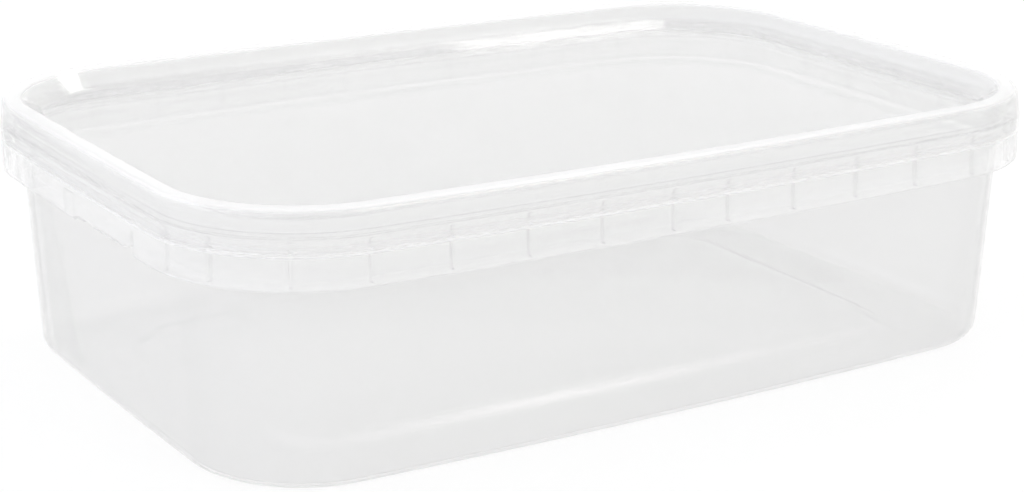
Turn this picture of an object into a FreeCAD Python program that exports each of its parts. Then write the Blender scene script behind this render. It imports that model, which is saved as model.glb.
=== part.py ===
import FreeCAD, Part
import math
import os
from FreeCAD import Vector

# Rectangular deli container with a tamper-evident band: a thin-walled tub and its clip-on lid.
#
# Both pieces are one moulded cross-section carried round the same outline, and a flat plate that
# closes the middle. The outline is eight arcs that run on into each other: four corners and four
# gently bowed sides. A section is drawn as (inset, height, rounding) corners, where the inset is
# measured inwards from the outside of the band, so every wall stays parallel to the outline.
#
# Millimetres. +Z is up, +X runs along the container and the floor stands on z = 0.

# ---- Outline of the band -------------------------------------------------------------------
BAND_LENGTH = 187.6
BAND_WIDTH = 127.0
CORNER_RADIUS = 29.5
LONG_SIDE_RADIUS = 1500.0
SHORT_SIDE_RADIUS = 1950.0

# ---- Tub -----------------------------------------------------------------------------------
TUB_WALL = 0.6
FLOOR_THICKNESS = 0.7
WALL_BASE_INSET = 6.0
WALL_HEAD_INSET = 3.8
FLOOR_ROUNDING = 2.8
FLOOR_PANEL_INSET = 24.6
FLOOR_PANEL_CORNER = 11.0
FLOOR_PANEL_RISE = 1.0
FLOOR_STEP_RUN = 2.0
FLOOR_STEP_ROUNDING = 3.0

# ---- Tamper-evident band, carried on a ledge round the tub -----------------------------------
BAND_BOTTOM = 37.7
BAND_TOP = 46.5
BAND_THICKNESS = 0.7
LEDGE_TOP = 43.7
LEDGE_THICKNESS = 0.7
EDGE_ROUNDING = 0.25
ROOT_ROUNDING = 0.35

# ---- Sealing rim of the tub, which the lid clips over ---------------------------------------
RIM_INSET = 3.0
RIM_SHOULDER_HEIGHT = 2.2
RIM_SHOULDER_ROUNDING = 1.0
RIM_BEAD_PROUD = 0.7
RIM_BEAD_HEIGHT = 2.4
RIM_BEAD_DROP = 0.5

# ---- Stiffening webs, on a pitch round the band -----------------------------------------------
WEB_PITCH = 15.0
WEB_CENTRE_GAP = 12.0
WEB_THICKNESS = 0.6
WEBS_PER_HALF_LONG_SIDE = 5
WEBS_PER_HALF_SHORT_SIDE = 3
WEBS_PER_CORNER = 2
LOWER_WEB_DEPTH = 1.3
LOWER_WEB_TAPER = 0.3
LOWER_WEB_SETBACK = 0.4
UPPER_WEB_DEPTH = 1.4
UPPER_WEB_TAPER = 0.7
UPPER_WEB_HEIGHT = 2.1

# ---- Tear tab in the band, on the -X end --------------------------------------------------------
TAB_START = -26.5
TAB_END = 0.0
TAB_EDGE_LIFT = 0.8
TAB_NOTCH_LIFT = 1.5
TAB_NOTCH_WIDTH = 4.0
TAB_FINGER_NOTCH = -7.2
TAB_SLOT_WIDTH = 0.6
TAB_BRIDGE_HEIGHT = 0.8
TAB_FILM_GAP = 1.0
TAB_FILM_WIDTH = 4.2
TAB_FILM_THICKNESS = 0.35
GRIP_BAR_COUNT = 3
GRIP_BAR_PITCH = 2.6
GRIP_BAR_WIDTH = 0.8
GRIP_BAR_HEIGHT = 2.2
GRIP_BAR_PROUD = 0.5

# ---- Lid -------------------------------------------------------------------------------------
LID_WALL = 0.55
LID_TOP = 51.3
LID_PANEL_TOP = 48.0
LID_FLANGE_INSET = 0.25
LID_FLANGE_LEAN = 0.4
LID_TOP_ROUNDING = 1.4
LID_LEG_ROUNDING = 1.0
LID_LEG_LEAN = 4.2
LID_PANEL_ROUNDING = 1.2
LID_LIP_DROP = 0.6
LID_CLIP_PROUD = 1.05
LID_CLIP_HEIGHT = 0.5

# ---- Clearances between the lid and the tub -----------------------------------------------------
GROOVE_GAP = 0.3
LIP_CLEARANCE = 0.25
PLUG_CLEARANCE = 0.3
SEAT_GAP = 0.25

# ---- Rim height, which follows the underside of the lid ----------------------------------------
RIM_TOP = LID_TOP - LID_WALL - SEAT_GAP

# ---- Flat plates, which start inside the sections and lap over them ------------------------------
FLAT_INSET = FLOOR_PANEL_INSET / 2 + WALL_BASE_INSET / 2
STEP_MARGIN = 2.0
PLATE_LAP = 0.4

UP = Vector(0, 0, 1)


class Outline:
    """The band's outline, as eight tangent arcs that any inset keeps concentric."""

    def __init__(self, length, width, corner, long_side, short_side):
        long_centre = width / 2 - long_side
        short_centre = length / 2 - short_side
        self.corner_centre = meeting_point(Vector(0, long_centre, 0), long_side - corner,
                                           Vector(short_centre, 0, 0), short_side - corner)
        x, y = self.corner_centre.x, self.corner_centre.y
        self.long_turn = math.atan2(y - long_centre, x)
        self.short_turn = math.atan2(y, x - short_centre)
        quarter = math.pi / 2
        self.arcs = []
        for side, (sx, sy) in enumerate(((1, 1), (-1, 1), (-1, -1), (1, -1))):
            along_x = side % 2 == 0
            turn = self.short_turn if along_x else quarter - self.long_turn
            straight = Vector(sx * short_centre if along_x else 0, 0 if along_x else sy * long_centre, 0)
            radius = short_side if along_x else long_side
            facing = side * quarter
            next_turn = quarter - self.long_turn if along_x else self.short_turn
            self.arcs.append((straight, radius, facing - turn, facing + turn))
            self.arcs.append((Vector(sx * x, sy * y, 0), corner, facing + turn, facing + quarter - next_turn))

    def wire(self, inset, height):
        """The closed outline at one inset and height."""
        edges = []
        for centre, radius, start, end in self.arcs:
            circle = Part.Circle(centre + UP * height, UP, radius - inset)
            edges.append(Part.ArcOfCircle(circle, start, end).toShape())
        return Part.Wire(edges)

    def plate(self, inset, bottom, thickness):
        """A flat plate that fills the outline."""
        return Part.Face(self.wire(inset, bottom)).extrude(UP * thickness)

    def frame(self, inset, inner, inner_inset, bottom, thickness):
        """A flat plate that is left open inside another outline."""
        return self.plate(inset, bottom, thickness).cut(inner.plate(inner_inset, bottom, thickness))

    def ring(self, corners):
        """A section carried all the way round, as one revolved piece for each arc."""
        pieces = []
        for centre, radius, start, end in self.arcs:
            face = section_face(corners, radius)
            face.rotate(Vector(0, 0, 0), UP, math.degrees(start))
            face.translate(centre)
            pieces.append(face.revolve(centre, UP, math.degrees(end - start)))
        return pieces

    def web(self, corners, thickness, arc, turn):
        """A flat web in the plane of the section, at an angle along one arc."""
        centre, radius, _, _ = self.arcs[arc]
        face = section_face(corners, radius)
        face.translate(Vector(0, -thickness / 2, 0))
        solid = face.extrude(Vector(0, thickness, 0))
        solid.rotate(Vector(0, 0, 0), UP, math.degrees(turn))
        solid.translate(centre)
        return solid


def meeting_point(first, first_radius, second, second_radius):
    """Where two circles cross, on the side of +X and +Y."""
    gap = second - first
    along = (first_radius ** 2 - second_radius ** 2 + gap.Length ** 2) / (2 * gap.Length)
    off = math.sqrt(first_radius ** 2 - along ** 2)
    direction = gap / gap.Length
    middle = first + direction * along
    across = Vector(-direction.y, direction.x, 0) * off
    return max((middle + across, middle - across), key=lambda point: point.x + point.y)


def rounded_face(points, roundings):
    """Flat face inside a closed run of corners, each rounded by its own radius."""
    edges = []
    first = last = None
    for i, (corner, rounding) in enumerate(zip(points, roundings)):
        start = end = corner
        if rounding > 0:
            to_before = (points[i - 1] - corner).normalize()
            to_after = (points[(i + 1) % len(points)] - corner).normalize()
            half_angle = to_before.getAngle(to_after) / 2
            bisector = (to_before + to_after).normalize()
            start = corner + to_before * (rounding / math.tan(half_angle))
            end = corner + to_after * (rounding / math.tan(half_angle))
            middle = corner + bisector * (rounding / math.sin(half_angle) - rounding)
        if last is None:
            first = start
        else:
            edges.append(Part.LineSegment(last, start).toShape())
        if rounding > 0:
            edges.append(Part.Arc(start, middle, end).toShape())
        last = end
    edges.append(Part.LineSegment(last, first).toShape())
    return Part.Face(Part.Wire(edges))


def section_face(corners, radius):
    """Closed section from (inset, height, rounding) corners, standing on the XZ plane."""
    points = [Vector(radius - inset, 0, height) for inset, height, _ in corners]
    return rounded_face(points, [rounding for _, _, rounding in corners])


def wall_inset(height):
    """Inset of the tub's outer wall face, which leans out from the floor to the ledge."""
    return WALL_BASE_INSET + (WALL_HEAD_INSET - WALL_BASE_INSET) * height / LEDGE_TOP


def tub_section():
    """Floor edge, wall, ledge, band and sealing rim as one outline."""
    ledge_bottom = LEDGE_TOP - LEDGE_THICKNESS
    floor_edge = FLAT_INSET + PLATE_LAP
    inner_rim = RIM_INSET + TUB_WALL
    bead_inset = RIM_INSET - RIM_BEAD_PROUD
    bead_bottom = RIM_TOP - RIM_BEAD_HEIGHT
    return [
        (floor_edge, 0, 0),
        (wall_inset(0), 0, FLOOR_ROUNDING),
        (wall_inset(ledge_bottom), ledge_bottom, ROOT_ROUNDING),
        (BAND_THICKNESS, ledge_bottom, ROOT_ROUNDING),
        (BAND_THICKNESS, BAND_BOTTOM, EDGE_ROUNDING),
        (0, BAND_BOTTOM, EDGE_ROUNDING),
        (0, BAND_TOP, EDGE_ROUNDING),
        (BAND_THICKNESS, BAND_TOP, EDGE_ROUNDING),
        (BAND_THICKNESS, LEDGE_TOP, ROOT_ROUNDING),
        (RIM_INSET, LEDGE_TOP, ROOT_ROUNDING),
        (RIM_INSET, bead_bottom - RIM_BEAD_DROP, ROOT_ROUNDING),
        (bead_inset, bead_bottom + RIM_BEAD_DROP, ROOT_ROUNDING),
        (bead_inset, RIM_TOP, ROOT_ROUNDING * 2),
        (inner_rim, RIM_TOP, EDGE_ROUNDING),
        (inner_rim, ledge_bottom + RIM_SHOULDER_HEIGHT, RIM_SHOULDER_ROUNDING),
        (wall_inset(ledge_bottom) + TUB_WALL, ledge_bottom, RIM_SHOULDER_ROUNDING),
        (wall_inset(0) + TUB_WALL, FLOOR_THICKNESS, FLOOR_ROUNDING - TUB_WALL),
        (floor_edge, FLOOR_THICKNESS, 0),
    ]


def step_section():
    """The soft step up to the floor's middle panel, on the panel's own outline."""
    foot = -FLOOR_STEP_RUN / 2
    head = FLOOR_STEP_RUN / 2
    outer_edge = foot - STEP_MARGIN
    plate_edge = head + STEP_MARGIN
    panel_top = FLOOR_PANEL_RISE + FLOOR_THICKNESS
    return [
        (plate_edge, FLOOR_PANEL_RISE, 0),
        (head, FLOOR_PANEL_RISE, FLOOR_STEP_ROUNDING),
        (foot, 0, FLOOR_STEP_ROUNDING),
        (outer_edge, 0, 0),
        (outer_edge, FLOOR_THICKNESS, 0),
        (foot, FLOOR_THICKNESS, FLOOR_STEP_ROUNDING),
        (head, panel_top, FLOOR_STEP_ROUNDING),
        (plate_edge, panel_top, 0),
    ]


def lid_section():
    """Flange, clip lip, rim and plug leg as one outline, down to the sunk panel."""
    flange_bottom = BAND_TOP + GROOVE_GAP
    lip_inset = BAND_THICKNESS + LIP_CLEARANCE
    lip_bottom = flange_bottom - LID_LIP_DROP
    lip_inner = lip_inset + LID_WALL
    clip_inset = lip_inner + LID_CLIP_PROUD
    leg_inset = RIM_INSET + TUB_WALL + PLUG_CLEARANCE
    leg_angle = math.atan2(LID_TOP - LID_PANEL_TOP, LID_LEG_LEAN)
    leg_face = leg_inset + LID_WALL * math.tan(leg_angle / 2)
    panel_underside = LID_PANEL_TOP - LID_WALL
    plate_edge = FLAT_INSET + PLATE_LAP
    return [
        (lip_inset, lip_bottom, EDGE_ROUNDING),
        (lip_inset, flange_bottom, EDGE_ROUNDING),
        (LID_FLANGE_INSET, flange_bottom, EDGE_ROUNDING),
        (LID_FLANGE_INSET + LID_FLANGE_LEAN, LID_TOP, LID_TOP_ROUNDING),
        (leg_face, LID_TOP, LID_LEG_ROUNDING),
        (leg_face + LID_LEG_LEAN, LID_PANEL_TOP, LID_PANEL_ROUNDING - LID_WALL),
        (plate_edge, LID_PANEL_TOP, 0),
        (plate_edge, panel_underside, 0),
        (leg_inset + LID_LEG_LEAN, panel_underside, LID_PANEL_ROUNDING),
        (leg_inset, LID_TOP - LID_WALL, EDGE_ROUNDING),
        (LID_FLANGE_INSET + LID_FLANGE_LEAN + LID_WALL, LID_TOP - LID_WALL, LID_TOP_ROUNDING - LID_WALL),
        (lip_inner, flange_bottom + LID_WALL, EDGE_ROUNDING),
        (clip_inset, flange_bottom, EDGE_ROUNDING),
        (clip_inset, flange_bottom - LID_CLIP_HEIGHT, EDGE_ROUNDING),
        (lip_inner, lip_bottom, EDGE_ROUNDING),
    ]


def web_sections():
    """The lower web under the ledge and the upper web in the channel above it."""
    root = BAND_THICKNESS / 2
    ledge_core = LEDGE_TOP - LEDGE_THICKNESS / 2
    lower_tip = BAND_THICKNESS + LOWER_WEB_DEPTH
    lower_foot = BAND_BOTTOM + LOWER_WEB_SETBACK
    upper_tip = BAND_THICKNESS + UPPER_WEB_DEPTH
    upper_head = LEDGE_TOP + UPPER_WEB_HEIGHT
    lower = [
        (root, ledge_core, 0),
        (lower_tip, ledge_core, 0),
        (lower_tip - LOWER_WEB_TAPER, lower_foot, EDGE_ROUNDING),
        (root, lower_foot, 0),
    ]
    upper = [
        (root, ledge_core, 0),
        (upper_tip, ledge_core, 0),
        (upper_tip - UPPER_WEB_TAPER, upper_head, EDGE_ROUNDING),
        (root, upper_head, 0),
    ]
    return lower, upper


def web_places(outline):
    """(arc, angle) of each web: on a pitch along the sides and evenly round the corners."""
    places = []
    for arc, (centre, radius, start, end) in enumerate(outline.arcs):
        if arc % 2:
            step = (end - start) / (WEBS_PER_CORNER + 1)
            places += [(arc, start + step * (i + 1)) for i in range(WEBS_PER_CORNER)]
            continue
        on_short_side = arc % 4 == 0
        count = WEBS_PER_HALF_SHORT_SIDE if on_short_side else WEBS_PER_HALF_LONG_SIDE
        first = WEB_PITCH / 2 if on_short_side else WEB_CENTRE_GAP / 2
        middle = (start + end) / 2
        for i in range(count):
            offset = (first + i * WEB_PITCH) / radius
            places += [(arc, middle - offset), (arc, middle + offset)]
    return [place for place in places if not in_tab(outline, *place)]


def in_tab(outline, arc, turn):
    """Whether a web would stand behind the tear tab, where there are none."""
    centre, radius, _, _ = outline.arcs[arc]
    at = centre + Vector(math.cos(turn), math.sin(turn), 0) * radius
    film_end = TAB_END + TAB_FILM_GAP + TAB_FILM_WIDTH
    return at.x < 0 and TAB_START - WEB_PITCH / 4 < at.y < film_end + WEB_PITCH / 4 and arc == 4


def tab_cuts():
    """What is taken out of the band to free the tab: a raised edge with a slot, and a thin film."""
    face = -BAND_LENGTH / 2
    clear = 1.0
    edge = BAND_BOTTOM + TAB_EDGE_LIFT
    notch = BAND_BOTTOM + TAB_NOTCH_LIFT
    half_notch = TAB_NOTCH_WIDTH / 2
    below = BAND_BOTTOM - clear
    slot_head = LEDGE_TOP - LEDGE_THICKNESS - TAB_BRIDGE_HEIGHT
    slot_rounding = TAB_SLOT_WIDTH * 0.4
    corners = [
        (TAB_START, below, 0),
        (TAB_START, slot_head, slot_rounding),
        (TAB_START + TAB_SLOT_WIDTH, slot_head, slot_rounding),
        (TAB_START + TAB_SLOT_WIDTH, notch, slot_rounding),
        (TAB_START + half_notch, notch, half_notch / 2),
        (TAB_START + TAB_NOTCH_WIDTH, edge, half_notch / 2),
        (TAB_FINGER_NOTCH - half_notch, edge, half_notch / 2),
        (TAB_FINGER_NOTCH, notch, half_notch / 2),
        (TAB_FINGER_NOTCH + half_notch, edge, half_notch / 2),
        (TAB_END, edge, TAB_EDGE_LIFT * 0.8),
        (TAB_END, below, 0),
    ]
    points = [Vector(face - clear, y, z) for y, z, _ in corners]
    opening = rounded_face(points, [rounding for _, _, rounding in corners])
    through = opening.extrude(Vector(BAND_THICKNESS + 2 * clear, 0, 0))
    film_head = LEDGE_TOP - LEDGE_THICKNESS - 2 * ROOT_ROUNDING
    film = Part.makeBox(BAND_THICKNESS, TAB_FILM_WIDTH, film_head - below,
                        Vector(face + TAB_FILM_THICKNESS, TAB_END + TAB_FILM_GAP, below))
    return [through, film]


def grip_bars():
    """Upright bars inside the tab, for the finger that pulls it."""
    inside = -BAND_LENGTH / 2 + BAND_THICKNESS
    lowest = (BAND_BOTTOM + TAB_EDGE_LIFT + LEDGE_TOP - LEDGE_THICKNESS - GRIP_BAR_HEIGHT) / 2
    middle = (TAB_START + TAB_END) / 2
    bars = []
    for i in range(GRIP_BAR_COUNT):
        y = middle + (i - (GRIP_BAR_COUNT - 1) / 2) * GRIP_BAR_PITCH - GRIP_BAR_WIDTH / 2
        root = BAND_THICKNESS / 2
        bars.append(Part.makeBox(root + GRIP_BAR_PROUD, GRIP_BAR_WIDTH, GRIP_BAR_HEIGHT,
                                 Vector(inside - root, y, lowest)))
    return bars


def joined(pieces):
    """One solid from pieces that meet."""
    shape = pieces[0].multiFuse(pieces[1:]).removeSplitter()
    return shape.Solids[0]


def make_tub(outline):
    panel = Outline(BAND_LENGTH - 2 * FLOOR_PANEL_INSET, BAND_WIDTH - 2 * FLOOR_PANEL_INSET,
                    FLOOR_PANEL_CORNER, LONG_SIDE_RADIUS, SHORT_SIDE_RADIUS)
    half_run = FLOOR_STEP_RUN / 2
    step_edge = -half_run - STEP_MARGIN + PLATE_LAP
    panel_edge = half_run + STEP_MARGIN - PLATE_LAP
    lower, upper = web_sections()
    pieces = outline.ring(tub_section()) + panel.ring(step_section())
    pieces.append(outline.frame(FLAT_INSET, panel, step_edge, 0, FLOOR_THICKNESS))
    pieces.append(panel.plate(panel_edge, FLOOR_PANEL_RISE, FLOOR_THICKNESS))
    for arc, turn in web_places(outline):
        pieces.append(outline.web(lower, WEB_THICKNESS, arc, turn))
        pieces.append(outline.web(upper, WEB_THICKNESS, arc, turn))
    tub = joined(pieces).cut(tab_cuts())
    return joined([tub] + grip_bars())


def make_lid(outline):
    pieces = outline.ring(lid_section())
    pieces.append(outline.plate(FLAT_INSET, LID_PANEL_TOP - LID_WALL, LID_WALL))
    return joined(pieces)


def main():
    os.makedirs("parts", exist_ok=True)
    outline = Outline(BAND_LENGTH, BAND_WIDTH, CORNER_RADIUS, LONG_SIDE_RADIUS, SHORT_SIDE_RADIUS)
    for name, shape in (("tub", make_tub(outline)), ("lid", make_lid(outline))):
        shape.exportStep("parts/" + name + ".step")
        box = shape.optimalBoundingBox(False, False)
        print(name, "valid", shape.isValid(), "solids", len(shape.Solids), "faces", len(shape.Faces),
              "volume", round(shape.Volume), "size", round(box.XLength, 2), round(box.YLength, 2),
              round(box.ZMin, 2), round(box.ZMax, 2))


main()
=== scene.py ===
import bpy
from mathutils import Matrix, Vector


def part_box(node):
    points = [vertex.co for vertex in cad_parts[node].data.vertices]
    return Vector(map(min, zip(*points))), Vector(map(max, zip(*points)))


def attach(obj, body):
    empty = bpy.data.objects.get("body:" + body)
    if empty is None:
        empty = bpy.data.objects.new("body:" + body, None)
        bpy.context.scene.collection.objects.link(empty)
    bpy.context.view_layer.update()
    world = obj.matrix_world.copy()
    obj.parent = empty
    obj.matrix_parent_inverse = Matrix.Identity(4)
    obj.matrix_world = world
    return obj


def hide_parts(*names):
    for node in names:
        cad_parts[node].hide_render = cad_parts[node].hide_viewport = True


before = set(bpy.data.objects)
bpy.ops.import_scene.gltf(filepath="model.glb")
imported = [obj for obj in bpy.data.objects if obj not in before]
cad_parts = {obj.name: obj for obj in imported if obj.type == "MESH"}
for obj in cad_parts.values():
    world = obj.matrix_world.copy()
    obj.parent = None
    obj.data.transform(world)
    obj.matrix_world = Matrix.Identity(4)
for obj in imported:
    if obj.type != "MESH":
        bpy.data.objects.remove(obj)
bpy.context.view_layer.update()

import math
import bmesh
import bpy
from mathutils import Matrix, Vector

# A clear deli container on a white studio floor: the tub and the lid are lofted here as finer
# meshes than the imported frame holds, with the same sections, and given a clear glossy plastic.
# The three small grip bars inside the tear tab are in the frame's tub only.
# The scene is in metres; sections and sizes of the mouldings are written in millimetres.

MM = 0.001

# ---- Sizes from the frame ------------------------------------------------------------------
TUB_LOW, TUB_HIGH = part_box("tub")
LID_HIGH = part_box("lid")[1]
BAND_LENGTH = (TUB_HIGH.x - TUB_LOW.x) / MM
BAND_WIDTH = (TUB_HIGH.y - TUB_LOW.y) / MM
LID_TOP = LID_HIGH.z / MM
RIM_TOP = TUB_HIGH.z / MM

# ---- Sizes of the mouldings, in millimetres ---------------------------------------------------
CORNER_RADIUS = 29.5
LONG_SIDE_RADIUS = 1500.0
SHORT_SIDE_RADIUS = 1950.0
WALL = 0.6
FLOOR = 0.7
WALL_BASE_INSET = 6.0
WALL_HEAD_INSET = 3.8
FLOOR_ROUNDING = 2.8
FLOOR_PANEL_INSET = 24.6
FLOOR_PANEL_CORNER = 11.0
FLOOR_PANEL_RISE = 1.0
FLOOR_STEP_RUN = 2.0
FLOOR_STEP_ROUNDING = 3.0
BAND_BOTTOM = 37.7
BAND_TOP = 46.5
BAND = 0.7
LEDGE_TOP = 43.7
LEDGE = 0.7
EDGE = 0.25
ROOT = 0.35
RIM_INSET = 3.0
SHOULDER = 2.2
SHOULDER_ROUNDING = 1.0
BEAD_PROUD = 0.7
BEAD_HEIGHT = 2.4
BEAD_DROP = 0.5
LID_WALL = 0.55
PANEL_TOP = 48.0
FLANGE_INSET = 0.25
FLANGE_LEAN = 0.4
TOP_ROUNDING = 1.4
LEG_ROUNDING = 1.0
LEG_LEAN = 4.2
PANEL_ROUNDING = 1.2
LIP_DROP = 0.6
CLIP_PROUD = 1.05
CLIP_HEIGHT = 0.5
GROOVE_GAP = 0.3
LIP_CLEARANCE = 0.25
PLUG_CLEARANCE = 0.3
FLAT_INSET = FLOOR_PANEL_INSET / 2 + WALL_BASE_INSET / 2
STEP_MARGIN = 2.0

# ---- Webs and tab, in millimetres -----------------------------------------------------------
WEB_PITCH = 15.0
WEB_CENTRE_GAP = 12.0
WEBS_HALF_LONG_SIDE = 5
WEBS_HALF_SHORT_SIDE = 3
WEBS_CORNER = 2
WEB = 0.6
LOWER_WEB_DEPTH = 1.3
LOWER_WEB_TAPER = 0.3
LOWER_WEB_SETBACK = 0.4
UPPER_WEB_DEPTH = 1.4
UPPER_WEB_TAPER = 0.7
UPPER_WEB_HEIGHT = 2.1
# The tab is on the outline's fifth arc, the left end; its places along that end follow.
TAB_ARC = 4
TAB_START = -26.5
TAB_END = 0.0
TAB_EDGE_LIFT = 0.8
TAB_NOTCH_LIFT = 1.5
TAB_NOTCH_WIDTH = 4.0
TAB_FINGER_NOTCH = -7.2
TAB_SLOT = 0.6
TAB_SLOT_ROUNDING = 0.24
TAB_EDGE_ROUNDING = 0.64
TAB_BRIDGE = 0.8
FILM_GAP = 1.0
FILM_WIDTH = 4.2
FILM_DEPTH = 0.35
CUT_MARGIN = 1.0

# ---- Plastic ------------------------------------------------------------------------------
# Light meets the plastic's body in a share BODY and goes straight on in the rest, as through a
# thin sheet. The body is clear in a share CLARITY and slightly milky in the rest. Its index is
# near 1, which keeps hard dark lines off the edges; the glossy coat has the index of the plastic.
PLASTIC_IOR = 1.05
CLARITY = 0.8
BODY = 0.5
GLOSS = 1.0
GLOSS_ROUGHNESS = 0.03
GLOSS_IOR = 1.49
HAZE_SCALE = 45
HAZE_DETAIL = 3
HAZE = (0.03, 0.09)
RIPPLE_SCALE = 160
RIPPLE_DETAIL = 2
RIPPLE_STRENGTH = 0.06
RIPPLE_DEPTH = 0.0002
# The share of light that a surface lets through, from seen face on (0) to seen along (1).
FACING_BLEND = 0.5
CLEARNESS = ((0.0, 0.955), (0.3, 0.95), (0.55, 0.93), (0.75, 0.94), (0.9, 0.96), (1.0, 0.98))
# The band and the lid's edge let through a higher share of their own: painted light, a rim made lighter
# than the flats in place of the highlights that brighten it. It sets in between the two heights, and
# between the two insets, in millimetres.
PAINTED_RIM_CLEARNESS = 0.972
RIM_ZONE_HEIGHT = (BAND_BOTTOM - 1.7, BAND_BOTTOM - 0.2)
RIM_ZONE_INSET = (10.0, 7.0)
# Painted highlights: pale lines of white at the band's lower edge, the ledge and the lid's top edge, in
# place of the bright streaks of light along them: (height, share of white).
PAINTED_HIGHLIGHT_LINES = (
    (BAND_BOTTOM - 0.2, 0.16), (BAND_BOTTOM + 0.6, 0.0),
    (LEDGE_TOP - 0.6, 0.0), (LEDGE_TOP, 0.26), (LEDGE_TOP + 0.6, 0.0),
    (LID_TOP - 1.1, 0.0), (LID_TOP, 0.28),
)

# ---- Studio, in metres --------------------------------------------------------------------
# Seen rays find the floor plain white in a share FLOOR_GLOW, and the world HORIZON_SEEN low down
# and SKY_SEEN high up. SKY_FADE says where one passes into the other, from 0, level, to 1,
# straight up. All other rays find the world as bright as WORLD_LIGHT.
FLOOR_HALF = 4
FLOOR_DROP = 0.0001
FLOOR_WHITE = 0.92
FLOOR_GLOW = 0.88
WORLD_LIGHT = 0.95
HORIZON_SEEN = 1.0
SKY_SEEN = 0.8
SKY_FADE = (0.25, 0.7)
# Name, place, aim, size, watts, colour.
LAMPS = (
    ("key", (0.65, 0.39, 1.05), (0, 0, 0), (0.3, 0.3), 2.0, (1.0, 0.99, 0.96)),
    ("fill", (-1.0, -0.2, 0.8), (0, 0, 0), (1.4, 1.4), 3.5, (0.87, 0.87, 1.0)),
    ("cool_strip", (-0.5, 0.7, 0.8), (0, 0, 0.04), (0.7, 0.4), 1.5, (0.85, 0.85, 1.0)),
    ("warm_strip", (0.4, -0.7, 0.85), (0, 0, 0.04), (0.7, 0.4), 1.8, (1.0, 0.98, 0.85)),
)

# ---- Camera: degrees, metres, and the lens in millimetres ---------------------------------
CAMERA_AZIMUTH = -32.012
CAMERA_ELEVATION = 17.076
CAMERA_ROLL = 0.307
CAMERA_DISTANCE = 0.4599
CAMERA_TARGET = (-0.000875, 0, 0.018008)
CAMERA_LENS = 79.66
CAMERA_SENSOR = 36
CAMERA_CLIP = (0.01, 50)

# ---- Mesh fineness ------------------------------------------------------------------------
CORNER_STEPS = 28
SIDE_STEPS = 10
ROUNDING_STEPS = 5
SHARP = math.radians(32)
FLAT_WEIGHT = 90


# ============================ Outline and sections ============================
def outline_arcs(length, width, corner):
    """An outline as eight tangent arcs: (centre, radius, start, end)."""
    long_centre = width / 2 - LONG_SIDE_RADIUS
    short_centre = length / 2 - SHORT_SIDE_RADIUS
    first, first_r = Vector((0, long_centre)), LONG_SIDE_RADIUS - corner
    second, second_r = Vector((short_centre, 0)), SHORT_SIDE_RADIUS - corner
    gap = second - first
    along = (first_r ** 2 - second_r ** 2 + gap.length ** 2) / (2 * gap.length)
    off = math.sqrt(first_r ** 2 - along ** 2)
    way = gap.normalized()
    across = Vector((-way.y, way.x)) * off
    middle = first + way * along
    x, y = max((middle + across, middle - across), key=lambda p: p.x + p.y)
    long_turn = math.pi / 2 - math.atan2(y - long_centre, x)
    short_turn = math.atan2(y, x - short_centre)
    arcs = []
    for side, (sx, sy) in enumerate(((1, 1), (-1, 1), (-1, -1), (1, -1))):
        facing = side * math.pi / 2
        on_end = side % 2 == 0
        turn, next_turn = (short_turn, long_turn) if on_end else (long_turn, short_turn)
        centre = Vector((sx * short_centre, 0)) if on_end else Vector((0, sy * long_centre))
        radius = SHORT_SIDE_RADIUS if on_end else LONG_SIDE_RADIUS
        arcs.append((centre, radius, facing - turn, facing + turn))
        corner_end = facing + math.pi / 2 - next_turn
        arcs.append((Vector((sx * x, sy * y)), corner, facing + turn, corner_end))
    return arcs


ARCS = outline_arcs(BAND_LENGTH, BAND_WIDTH, CORNER_RADIUS)
PANEL_ARCS = outline_arcs(
    BAND_LENGTH - 2 * FLOOR_PANEL_INSET, BAND_WIDTH - 2 * FLOOR_PANEL_INSET, FLOOR_PANEL_CORNER
)


def stations(arcs):
    """(centre, radius, angle) of each place where the loft has a section."""
    places = []
    for i, (centre, radius, start, end) in enumerate(arcs):
        steps = CORNER_STEPS if i % 2 else SIDE_STEPS
        for k in range(steps):
            places.append((centre, radius, start + (end - start) * k / steps))
    return places


def rounded(corners, closed=True):
    """Points of a section whose corners, (inset, height, rounding), are rounded by arcs."""
    points = []
    count = len(corners)
    for i, (inset, height, rounding) in enumerate(corners):
        corner = Vector((inset, height))
        if rounding <= 0 or (not closed and i in (0, count - 1)):
            points.append(corner)
            continue
        before = (Vector(corners[i - 1][:2]) - corner).normalized()
        after = (Vector(corners[(i + 1) % count][:2]) - corner).normalized()
        half = before.angle(after) / 2
        centre = corner + (before + after).normalized() * (rounding / math.sin(half))
        start = corner + before * (rounding / math.tan(half)) - centre
        end = corner + after * (rounding / math.tan(half)) - centre
        sweep = start.angle_signed(end)
        for k in range(ROUNDING_STEPS + 1):
            turn = -sweep * k / ROUNDING_STEPS
            points.append(centre + Matrix.Rotation(turn, 2) @ start)
    return points


def place(centre, radius, angle, inset, height):
    """A point of the object, in metres, at an inset from the outline."""
    reach = radius - inset
    return Vector((centre.x + reach * math.cos(angle), centre.y + reach * math.sin(angle), height)) * MM


def run_round(bm, arcs, section):
    """The vertices of a section at every station of an outline."""
    return [[bm.verts.new(place(c, r, a, p.x, p.y)) for p in section] for c, r, a in stations(arcs)]


def skin(bm, rings):
    """Faces between neighbouring rings of vertices, all the way round."""
    for i, ring in enumerate(rings):
        after = rings[(i + 1) % len(rings)]
        for k in range(len(ring) - 1):
            bm.faces.new((ring[k], ring[k + 1], after[k + 1], after[k]))


def close_middle(bm, rings):
    """A flat plate over each end of the sections."""
    bm.faces.new([ring[0] for ring in rings])
    bm.faces.new([ring[-1] for ring in rings][::-1])


def lid_shell():
    """The lid, whose panel is a flat plate."""
    bm = bmesh.new()
    rings = run_round(bm, ARCS, lid_section())
    skin(bm, rings)
    close_middle(bm, rings)
    bmesh.ops.recalc_face_normals(bm, faces=bm.faces)
    return solid_from(bm, "lid_shell")


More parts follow.
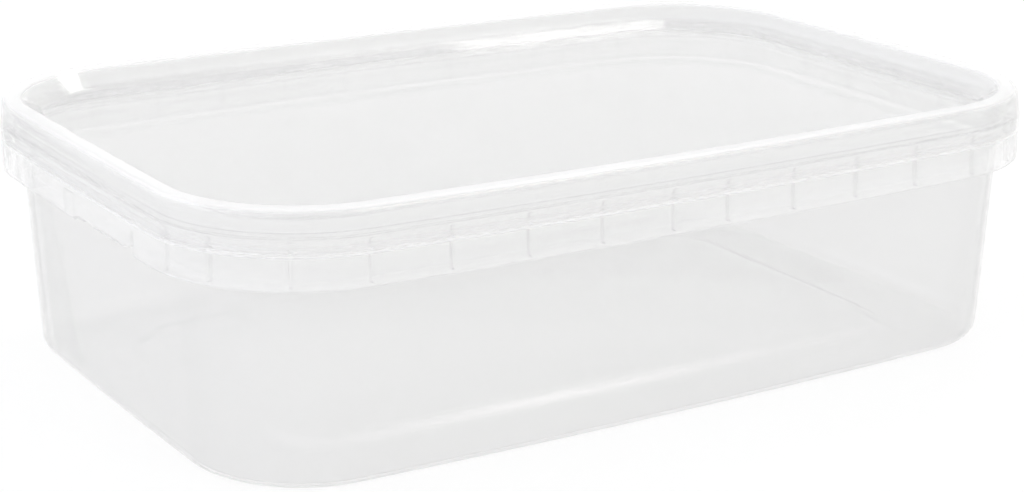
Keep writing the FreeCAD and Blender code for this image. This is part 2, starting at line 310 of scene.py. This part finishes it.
def tub_shell():
    """The tub, whose floor runs on from the band's outline to the rounder one of the middle panel."""
    bm = bmesh.new()
    under = run_round(bm, PANEL_ARCS, step_run(0))
    body = run_round(bm, ARCS, tub_section())
    over = run_round(bm, PANEL_ARCS, step_run(FLOOR)[::-1])
    rings = [low + middle + high for low, middle, high in zip(under, body, over)]
    skin(bm, rings)
    close_middle(bm, rings)
    bmesh.ops.recalc_face_normals(bm, faces=bm.faces)
    return solid_from(bm, "tub_shell")


def wall_inset(height):
    """Inset of the tub's outer wall face, which leans out from the floor to the ledge."""
    return WALL_BASE_INSET + (WALL_HEAD_INSET - WALL_BASE_INSET) * height / LEDGE_TOP


def step_run(lift):
    """The step of the floor, from the middle panel out to the flat ring round it."""
    half = FLOOR_STEP_RUN / 2
    corners = [
        (half + STEP_MARGIN, FLOOR_PANEL_RISE + lift, 0),
        (half, FLOOR_PANEL_RISE + lift, FLOOR_STEP_ROUNDING),
        (-half, lift, FLOOR_STEP_ROUNDING),
        (-half - STEP_MARGIN, lift, 0),
    ]
    return rounded(corners)


def tub_section():
    """The tub's section, from under the floor's flat ring round to its top."""
    ledge_bottom = LEDGE_TOP - LEDGE
    bead = RIM_INSET - BEAD_PROUD
    bead_bottom = RIM_TOP - BEAD_HEIGHT
    inner_rim = RIM_INSET + WALL
    corners = [
        (FLAT_INSET, 0, 0),
        (wall_inset(0), 0, FLOOR_ROUNDING),
        (wall_inset(ledge_bottom), ledge_bottom, ROOT),
        (BAND, ledge_bottom, ROOT),
        (BAND, BAND_BOTTOM, EDGE),
        (0, BAND_BOTTOM, EDGE),
        (0, BAND_TOP, EDGE),
        (BAND, BAND_TOP, EDGE),
        (BAND, LEDGE_TOP, ROOT),
        (RIM_INSET, LEDGE_TOP, ROOT),
        (RIM_INSET, bead_bottom - BEAD_DROP, ROOT),
        (bead, bead_bottom + BEAD_DROP, ROOT),
        (bead, RIM_TOP, ROOT * 2),
        (inner_rim, RIM_TOP, EDGE),
        (inner_rim, ledge_bottom + SHOULDER, SHOULDER_ROUNDING),
        (wall_inset(ledge_bottom) + WALL, ledge_bottom, SHOULDER_ROUNDING),
        (wall_inset(0) + WALL, FLOOR, FLOOR_ROUNDING - WALL),
        (FLAT_INSET, FLOOR, 0),
    ]
    return rounded(corners)


def lid_section():
    """The lid's section, from under its sunk panel round to the panel's top."""
    flange_bottom = BAND_TOP + GROOVE_GAP
    lip = BAND + LIP_CLEARANCE
    lip_bottom = flange_bottom - LIP_DROP
    lip_inner = lip + LID_WALL
    clip = lip_inner + CLIP_PROUD
    leg = RIM_INSET + WALL + PLUG_CLEARANCE
    leg_face = leg + LID_WALL * math.tan(math.atan2(LID_TOP - PANEL_TOP, LEG_LEAN) / 2)
    under = PANEL_TOP - LID_WALL
    flange = FLANGE_INSET + FLANGE_LEAN
    corners = [
        (FLAT_INSET, under, 0),
        (leg + LEG_LEAN, under, PANEL_ROUNDING),
        (leg, LID_TOP - LID_WALL, EDGE),
        (flange + LID_WALL, LID_TOP - LID_WALL, TOP_ROUNDING - LID_WALL),
        (lip_inner, flange_bottom + LID_WALL, EDGE),
        (clip, flange_bottom, EDGE),
        (clip, flange_bottom - CLIP_HEIGHT, EDGE),
        (lip_inner, lip_bottom, EDGE),
        (lip, lip_bottom, EDGE),
        (lip, flange_bottom, EDGE),
        (FLANGE_INSET, flange_bottom, EDGE),
        (flange, LID_TOP, TOP_ROUNDING),
        (leg_face, LID_TOP, LEG_ROUNDING),
        (leg_face + LEG_LEAN, PANEL_TOP, PANEL_ROUNDING - LID_WALL),
        (FLAT_INSET, PANEL_TOP, 0),
    ]
    return rounded(corners)


# ============================ Webs and tear tab ============================
def web_places():
    """(arc, angle) of each web of the band."""
    places = []
    for arc, (_, radius, start, end) in enumerate(ARCS):
        if arc % 2:
            step = (end - start) / (WEBS_CORNER + 1)
            places += [(arc, start + step * (k + 1)) for k in range(WEBS_CORNER)]
            continue
        on_end = arc % 4 == 0
        first = WEB_PITCH / 2 if on_end else WEB_CENTRE_GAP / 2
        count = WEBS_HALF_SHORT_SIDE if on_end else WEBS_HALF_LONG_SIDE
        middle = (start + end) / 2
        for k in range(count):
            turn = (first + k * WEB_PITCH) / radius
            places += [(arc, middle - turn), (arc, middle + turn)]
    return [p for p in places if not behind_tab(*p)]


def behind_tab(arc, angle):
    """Whether a web would stand behind the tear tab, which has none."""
    centre, radius, _, _ = ARCS[arc]
    y = centre.y + radius * math.sin(angle)
    film_end = TAB_END + FILM_GAP + FILM_WIDTH
    margin = WEB_PITCH / 4
    return arc == TAB_ARC and TAB_START - margin < y < film_end + margin


def add_prism(bm, points, offset):
    """A closed prism on a loop of points, thick by the offset either side."""
    near = [bm.verts.new(p - offset) for p in points]
    far = [bm.verts.new(p + offset) for p in points]
    bm.faces.new(near)
    bm.faces.new(far[::-1])
    for i, vert in enumerate(near):
        j = (i + 1) % len(near)
        bm.faces.new((vert, far[i], far[j], near[j]))


def webs():
    """All webs of the band as one mesh of separate closed prisms."""
    root = BAND / 2
    core = LEDGE_TOP - LEDGE / 2
    lower_tip = BAND + LOWER_WEB_DEPTH
    foot = BAND_BOTTOM + LOWER_WEB_SETBACK
    upper_tip = BAND + UPPER_WEB_DEPTH
    head = LEDGE_TOP + UPPER_WEB_HEIGHT
    outline = [
        (root, head), (upper_tip - UPPER_WEB_TAPER, head), (upper_tip, core), (lower_tip, core),
        (lower_tip - LOWER_WEB_TAPER, foot), (root, foot),
    ]
    bm = bmesh.new()
    for arc, angle in web_places():
        centre, radius, _, _ = ARCS[arc]
        points = [place(centre, radius, angle, inset, height) for inset, height in outline]
        side = Vector((-math.sin(angle), math.cos(angle), 0)) * (WEB / 2 * MM)
        add_prism(bm, points, side)
    bmesh.ops.recalc_face_normals(bm, faces=bm.faces)
    return solid_from(bm, "web_tool")


def solid_from(bm, name):
    """An object in the scene with the mesh of bm."""
    mesh = bpy.data.meshes.new(name)
    bm.to_mesh(mesh)
    bm.free()
    piece = bpy.data.objects.new(name, mesh)
    bpy.context.scene.collection.objects.link(piece)
    return piece


def tab_tool():
    """What is cut out of the band for the tear tab."""
    face = -BAND_LENGTH / 2
    edge = BAND_BOTTOM + TAB_EDGE_LIFT
    notch = BAND_BOTTOM + TAB_NOTCH_LIFT
    half_notch = TAB_NOTCH_WIDTH / 2
    below = BAND_BOTTOM - CUT_MARGIN
    slot_head = LEDGE_TOP - LEDGE - TAB_BRIDGE
    corners = [
        (TAB_START, below, 0),
        (TAB_START, slot_head, TAB_SLOT_ROUNDING),
        (TAB_START + TAB_SLOT, slot_head, TAB_SLOT_ROUNDING),
        (TAB_START + TAB_SLOT, notch, TAB_SLOT_ROUNDING),
        (TAB_START + half_notch, notch, half_notch / 2),
        (TAB_START + TAB_NOTCH_WIDTH, edge, half_notch / 2),
        (TAB_FINGER_NOTCH - half_notch, edge, half_notch / 2),
        (TAB_FINGER_NOTCH, notch, half_notch / 2),
        (TAB_FINGER_NOTCH + half_notch, edge, half_notch / 2),
        (TAB_END, edge, TAB_EDGE_ROUNDING),
        (TAB_END, below, 0),
    ]
    bm = bmesh.new()
    middle = face + BAND / 2
    through = [Vector((middle, p.x, p.y)) * MM for p in rounded(corners)]
    add_prism(bm, through, Vector(((BAND / 2 + CUT_MARGIN) * MM, 0, 0)))
    film_head = LEDGE_TOP - LEDGE - 2 * ROOT
    start = TAB_END + FILM_GAP
    end = start + FILM_WIDTH
    film = [(start, below), (start, film_head), (end, film_head), (end, below)]
    inside = face + FILM_DEPTH + BAND / 2
    add_prism(bm, [Vector((inside, y, z)) * MM for y, z in film], Vector((BAND / 2 * MM, 0, 0)))
    bmesh.ops.recalc_face_normals(bm, faces=bm.faces)
    return solid_from(bm, "tab_tool")


def boolean(piece, tool, operation):
    """Joins or cuts a tool, and deletes it."""
    modifier = piece.modifiers.new(operation, "BOOLEAN")
    modifier.operation = operation
    modifier.object = tool
    modifier.solver = "EXACT"
    apply_modifiers(piece)
    bpy.data.objects.remove(tool)


def apply_modifiers(piece):
    """Puts the evaluated mesh in the place of the mesh and its modifiers."""
    graph = bpy.context.evaluated_depsgraph_get()
    mesh = bpy.data.meshes.new_from_object(piece.evaluated_get(graph))
    piece.modifiers.clear()
    old, piece.data = piece.data, mesh
    bpy.data.meshes.remove(old)


def finish_shading(piece):
    """Smooth, with the real edges kept sharp and the flats left flat."""
    piece.data.shade_smooth()
    piece.data.set_sharp_from_angle(angle=SHARP)
    modifier = piece.modifiers.new("flats", "WEIGHTED_NORMAL")
    modifier.keep_sharp = True
    modifier.weight = FLAT_WEIGHT
    apply_modifiers(piece)


# ============================ Node helpers ============================
def grey(level):
    return (level, level, level, 1)


def feed(links, socket, value):
    """Sets a socket to a number or colour, or links it to another socket."""
    if isinstance(value, bpy.types.NodeSocket):
        links.new(value, socket)
    else:
        socket.default_value = value


def maths(nodes, links, operation, first, second):
    node = nodes.new("ShaderNodeMath")
    node.operation = operation
    feed(links, node.inputs[0], first)
    feed(links, node.inputs[1], second)
    return node.outputs[0]


def mixed(nodes, links, data_type, share, first, second):
    """A mix of two numbers or two colours."""
    node = nodes.new("ShaderNodeMix")
    node.data_type = data_type
    feed(links, node.inputs["Factor"], share)
    feed(links, node.inputs["A"], first)
    feed(links, node.inputs["B"], second)
    return node.outputs["Result"]


def mixed_shaders(nodes, links, share, first, second):
    node = nodes.new("ShaderNodeMixShader")
    feed(links, node.inputs["Fac"], share)
    links.new(first, node.inputs[1])
    links.new(second, node.inputs[2])
    return node.outputs[0]


def fade(nodes, links, value, ends, levels=(0, 1), interpolation="LINEAR"):
    """A value mapped from ends to levels and held beyond them."""
    node = nodes.new("ShaderNodeMapRange")
    node.interpolation_type = interpolation
    node.inputs["From Min"].default_value, node.inputs["From Max"].default_value = ends
    node.inputs["To Min"].default_value, node.inputs["To Max"].default_value = levels
    links.new(value, node.inputs["Value"])
    return node.outputs["Result"]


def grey_ramp(nodes, links, value, stops, interpolation="LINEAR"):
    """A grey that runs through (position, level) stops, the first at 0 and the last at 1."""
    node = nodes.new("ShaderNodeValToRGB")
    node.color_ramp.interpolation = interpolation
    elements = node.color_ramp.elements
    for position, _ in stops[1:-1]:
        elements.new(position)
    for element, (position, level) in zip(elements, stops):
        element.position = position
        element.color = grey(level)
    links.new(value, node.inputs["Fac"])
    return node.outputs["Color"]


def noise(nodes, links, where, scale, detail):
    node = nodes.new("ShaderNodeTexNoise")
    node.inputs["Scale"].default_value = scale
    node.inputs["Detail"].default_value = detail
    links.new(where, node.inputs["Vector"])
    return node.outputs["Fac"]


def height_of(nodes, links, where):
    node = nodes.new("ShaderNodeSeparateXYZ")
    links.new(where, node.inputs[0])
    return node.outputs["Z"]


def seen_rays(nodes, links):
    """1 for camera, glossy and transmission rays, else 0."""
    path = nodes.new("ShaderNodeLightPath")
    bounced = maths(
        nodes, links, "MAXIMUM", path.outputs["Is Glossy Ray"], path.outputs["Is Transmission Ray"]
    )
    return maths(nodes, links, "MAXIMUM", path.outputs["Is Camera Ray"], bounced)


# ============================ Plastic ============================
def clear_plastic(name):
    """Clear polypropylene as a thin sheet, glossy and slightly milky, with painted highlights: pale lines
    of white along its moulded edges.
    """
    material = bpy.data.materials.new(name)
    material.use_nodes = True
    nodes, links = material.node_tree.nodes, material.node_tree.links
    where = nodes.new("ShaderNodeTexCoord").outputs["Object"]
    zone = painted_light_rim_zone(nodes, links, where)
    # The rim zone is painted lighter here, standing in for the highlights that brighten the rim.
    tint = clearness_and_painted_rim_light(nodes, links, zone)

    body = nodes["Principled BSDF"]
    body.inputs["IOR"].default_value = PLASTIC_IOR
    body.inputs["Transmission Weight"].default_value = CLARITY
    body.inputs["Coat Weight"].default_value = GLOSS
    body.inputs["Coat Roughness"].default_value = GLOSS_ROUGHNESS
    body.inputs["Coat IOR"].default_value = GLOSS_IOR
    links.new(tint, body.inputs["Base Color"])
    cloud = noise(nodes, links, where, HAZE_SCALE, HAZE_DETAIL)
    links.new(fade(nodes, links, cloud, (0, 1), HAZE), body.inputs["Roughness"])
    links.new(ripples(nodes, links, where), body.inputs["Normal"])

    straight = nodes.new("ShaderNodeBsdfTransparent")
    links.new(tint, straight.inputs["Color"])
    sheet = mixed_shaders(nodes, links, BODY, straight.outputs[0], body.outputs[0])
    # Painted highlights: a lit white mixed in along lines of the rim.
    highlight_white = nodes.new("ShaderNodeBsdfDiffuse")
    highlight_white.inputs["Color"].default_value = grey(1)
    highlight_share = painted_highlight_lines(nodes, links, where, zone)
    surface = mixed_shaders(nodes, links, highlight_share, sheet, highlight_white.outputs[0])
    links.new(surface, nodes["Material Output"].inputs["Surface"])
    return material


def clearness_and_painted_rim_light(nodes, links, zone):
    """The colour of the light let through: least where the sheet is seen at a slant, and lighter in the
    zone, where the rim is painted lighter in place of the highlights that brighten it.
    """
    facing = nodes.new("ShaderNodeLayerWeight")
    facing.inputs["Blend"].default_value = FACING_BLEND
    tint = grey_ramp(nodes, links, facing.outputs["Facing"], CLEARNESS, "B_SPLINE")
    return mixed(nodes, links, "RGBA", zone, tint, grey(PAINTED_RIM_CLEARNESS))


def painted_light_rim_zone(nodes, links, where):
    """1 round the top, from the band's lower edge to the edge of the lid, and 0 on all the rest: where
    the rim is painted lighter and carries the painted highlight lines.

    The distance is taken from the core of the outline; its last number, 1 m, leaves height out.
    """
    core = ((BAND_LENGTH / 2 - CORNER_RADIUS) * MM, (BAND_WIDTH / 2 - CORNER_RADIUS) * MM, 1)
    reach = where
    for operation, value in (("ABSOLUTE", None), ("SUBTRACT", core), ("MAXIMUM", (0, 0, 0))):
        step = nodes.new("ShaderNodeVectorMath")
        step.operation = operation
        links.new(reach, step.inputs[0])
        if value:
            step.inputs[1].default_value = value
        reach = step.outputs[0]
    length = nodes.new("ShaderNodeVectorMath")
    length.operation = "LENGTH"
    links.new(reach, length.inputs[0])
    near = [(CORNER_RADIUS - inset) * MM for inset in RIM_ZONE_INSET]
    high = [height * MM for height in RIM_ZONE_HEIGHT]
    outside = fade(nodes, links, length.outputs["Value"], near)
    above = fade(nodes, links, height_of(nodes, links, where), high)
    return maths(nodes, links, "MULTIPLY", outside, above)


def painted_highlight_lines(nodes, links, where, zone):
    """The share of white at each height of the rim zone: the painted highlight lines."""
    low, high = PAINTED_HIGHLIGHT_LINES[0][0], PAINTED_HIGHLIGHT_LINES[-1][0]
    along = fade(nodes, links, height_of(nodes, links, where), (low * MM, high * MM))
    stops = [((height - low) / (high - low), share) for height, share in PAINTED_HIGHLIGHT_LINES]
    return maths(nodes, links, "MULTIPLY", grey_ramp(nodes, links, along, stops), zone)


def ripples(nodes, links, where):
    """The slight unevenness of a thin moulded sheet."""
    bump = nodes.new("ShaderNodeBump")
    bump.inputs["Strength"].default_value = RIPPLE_STRENGTH
    bump.inputs["Distance"].default_value = RIPPLE_DEPTH
    links.new(noise(nodes, links, where, RIPPLE_SCALE, RIPPLE_DETAIL), bump.inputs["Height"])
    return bump.outputs["Normal"]


def paint(piece, material):
    piece.data.materials.clear()
    piece.data.materials.append(material)


# ============================ Studio ============================
def white_floor():
    """A floor that is seen as white, with a faint shadow of what stands on it."""
    bm = bmesh.new()
    bmesh.ops.create_grid(bm, x_segments=1, y_segments=1, size=FLOOR_HALF)
    floor = solid_from(bm, "floor")
    floor.location.z = -FLOOR_DROP
    material = bpy.data.materials.new("floor_white")
    material.use_nodes = True
    nodes, links = material.node_tree.nodes, material.node_tree.links
    nodes.clear()
    matte = nodes.new("ShaderNodeBsdfDiffuse")
    matte.inputs["Color"].default_value = grey(FLOOR_WHITE)
    glow = nodes.new("ShaderNodeEmission")
    glow.inputs["Strength"].default_value = 1.0
    share = maths(nodes, links, "MULTIPLY", seen_rays(nodes, links), FLOOR_GLOW)
    surface = mixed_shaders(nodes, links, share, matte.outputs[0], glow.outputs[0])
    links.new(surface, nodes.new("ShaderNodeOutputMaterial").inputs["Surface"])
    paint(floor, material)


def white_world():
    """Even light all round, seen as white low down and as a pale grey sky overhead."""
    world = bpy.data.worlds.new("studio")
    bpy.context.scene.world = world
    world.use_nodes = True
    nodes, links = world.node_tree.nodes, world.node_tree.links
    background = nodes["Background"]
    background.inputs["Color"].default_value = grey(1)
    up = height_of(nodes, links, nodes.new("ShaderNodeTexCoord").outputs["Generated"])
    dome = fade(nodes, links, up, SKY_FADE, (HORIZON_SEEN, SKY_SEEN), "SMOOTHSTEP")
    light = mixed(nodes, links, "FLOAT", seen_rays(nodes, links), WORLD_LIGHT, dome)
    links.new(light, background.inputs["Strength"])


def lamp(name, location, target, size, energy, colour):
    """A square or oblong soft lamp that faces its target."""
    data = bpy.data.lights.new(name, "AREA")
    data.color = colour
    data.shape = "RECTANGLE"
    data.size, data.size_y = size
    data.energy = energy
    item = bpy.data.objects.new(name, data)
    item.location = location
    item.rotation_euler = (Vector(target) - Vector(location)).to_track_quat("-Z", "Y").to_euler()
    bpy.context.scene.collection.objects.link(item)


def camera():
    """Three-quarter view from a little above, with the tab's end on the left."""
    azimuth = math.radians(CAMERA_AZIMUTH)
    elevation = math.radians(CAMERA_ELEVATION)
    level = math.cos(elevation)
    back = Vector((math.sin(azimuth) * level, -math.cos(azimuth) * level, math.sin(elevation)))
    data = bpy.data.cameras.new("camera")
    data.sensor_width = CAMERA_SENSOR
    data.lens = CAMERA_LENS
    data.clip_start, data.clip_end = CAMERA_CLIP
    item = bpy.data.objects.new("camera", data)
    item.rotation_mode = "QUATERNION"
    look = (-back).to_track_quat("-Z", "Y")
    roll = Matrix.Rotation(math.radians(CAMERA_ROLL), 3, "Z").to_quaternion()
    item.rotation_quaternion = look @ roll
    item.location = Vector(CAMERA_TARGET) + back * CAMERA_DISTANCE
    bpy.context.scene.collection.objects.link(item)
    bpy.context.scene.camera = item


# ============================ Build ============================
tub = tub_shell()
boolean(tub, webs(), "UNION")
boolean(tub, tab_tool(), "DIFFERENCE")
finish_shading(tub)
lid = lid_shell()
finish_shading(lid)

for piece, node in ((tub, "tub"), (lid, "lid")):
    paint(piece, clear_plastic(node + "_clear"))
    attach(piece, "root")
    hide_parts(node)

white_floor()
white_world()
for settings in LAMPS:
    lamp(*settings)
camera()
bpy.context.scene.view_settings.view_transform = "Standard"
